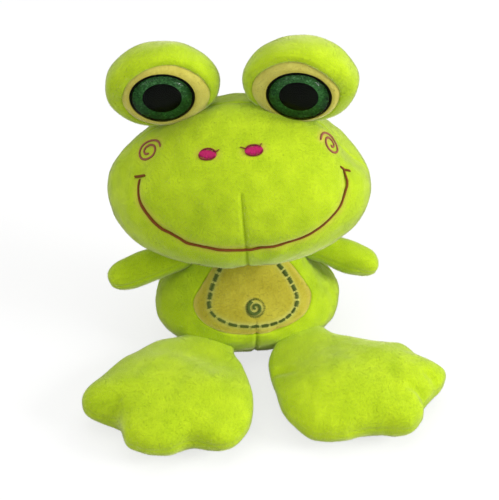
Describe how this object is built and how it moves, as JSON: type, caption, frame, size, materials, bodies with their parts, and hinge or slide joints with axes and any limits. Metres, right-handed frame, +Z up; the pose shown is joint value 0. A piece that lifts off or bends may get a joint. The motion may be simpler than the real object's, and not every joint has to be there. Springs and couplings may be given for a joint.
{
  "type": "plush frog",
  "caption": "Seated plush frog toy with a wide smiling head, raised eye pods with domed eyes, a round body with a pale belly, short arms and broad toed feet.",
  "frame": {"origin": "middle of the flat seat under the body, on the table", "axes": "+Z up, -Y the way the seated body and its belly face, +X the frog's own left"},
  "size_m": [0.1691, 0.1403, 0.1666],
  "materials": {
    "green_plush": "short velvety pile, lime green",
    "yellow_plush": "short velvety pile, dull yellow",
    "stuffing": "loose polyester fibre, off-white",
    "pouch_cloth": "plain woven lining, matt",
    "smile_thread": "satin-stitched thread, dark reddish brown",
    "nostril_thread": "satin-stitched thread, magenta",
    "cheek_thread": "satin-stitched thread, dull magenta brown",
    "belly_thread": "satin-stitched thread, dark olive green",
    "black_plastic": "glossy black",
    "white_plastic": "plain moulded, white",
    "glitter_film": "dark green film with fine glitter",
    "clear_plastic": "clear, polished"
  },
  "bodies": {
    "torso": {"body_front_panel": "green_plush", "body_back_panel": "green_plush", "belly_patch": "yellow_plush", "body_stuffing": "stuffing", "pellet_pouch": "pouch_cloth", "belly_dash_stitching": "belly_thread", "navel_spiral_stitching": "belly_thread"},
    "head": {"face_panel": "green_plush", "head_back_panel": "green_plush", "head_stuffing": "stuffing", "smile_stitching": "smile_thread", "nostril_stitching_left": "nostril_thread", "nostril_stitching_right": "nostril_thread", "cheek_spiral_stitching_left": "cheek_thread", "cheek_spiral_stitching_right": "cheek_thread", "eye_hood_left": "green_plush", "eye_hood_right": "green_plush", "eye_patch_left": "yellow_plush", "eye_patch_right": "yellow_plush", "eye_pod_stuffing_left": "stuffing", "eye_pod_stuffing_right": "stuffing", "eye_cup_left": "black_plastic", "eye_cup_right": "black_plastic", "eye_glitter_disc_left": "glitter_film", "eye_glitter_disc_right": "glitter_film", "eye_pupil_left": "black_plastic", "eye_pupil_right": "black_plastic", "eye_dome_left": "clear_plastic", "eye_dome_right": "clear_plastic", "eye_washer_left": "white_plastic", "eye_washer_right": "white_plastic"},
    "arm_left": {"arm_upper_panel_left": "green_plush", "arm_lower_panel_left": "green_plush", "arm_stuffing_left": "stuffing"},
    "arm_right": {"arm_upper_panel_right": "green_plush", "arm_lower_panel_right": "green_plush", "arm_stuffing_right": "stuffing"},
    "foot_left": {"foot_top_panel_left": "green_plush", "foot_sole_panel_left": "green_plush", "foot_stuffing_left": "stuffing"},
    "foot_right": {"foot_top_panel_right": "green_plush", "foot_sole_panel_right": "green_plush", "foot_stuffing_right": "stuffing"}
  },
  "joints": [
    {"name": "head_nod", "type": "hinge", "parent": "torso", "child": "head", "pos_m": [0, 0.002, 0.057], "axis": [1, 0, 0], "range_deg": [-10, 10], "stiffness_Nm_per_rad": 0.15},
    {"name": "arm_raise_left", "type": "hinge", "parent": "torso", "child": "arm_left", "pos_m": [0.02931, 0, 0.04848], "axis": [-0.1736, -0.9848, 0], "range_deg": [-8, 25], "stiffness_Nm_per_rad": 0.05},
    {"name": "arm_raise_right", "type": "hinge", "parent": "torso", "child": "arm_right", "pos_m": [-0.02931, 0, 0.04848], "axis": [-0.1908, 0.9816, 0], "range_deg": [-8, 25], "stiffness_Nm_per_rad": 0.05},
    {"name": "foot_lift_left", "type": "hinge", "parent": "torso", "child": "foot_left", "pos_m": [0.01687, -0.02244, 0.01545], "axis": [-0.8829, -0.4695, 0], "range_deg": [-15, 20], "stiffness_Nm_per_rad": 0.1},
    {"name": "foot_lift_right", "type": "hinge", "parent": "torso", "child": "foot_right", "pos_m": [-0.01687, -0.02244, 0.01545], "axis": [-0.8387, 0.5446, 0], "range_deg": [-15, 20], "stiffness_Nm_per_rad": 0.1}
  ]
}
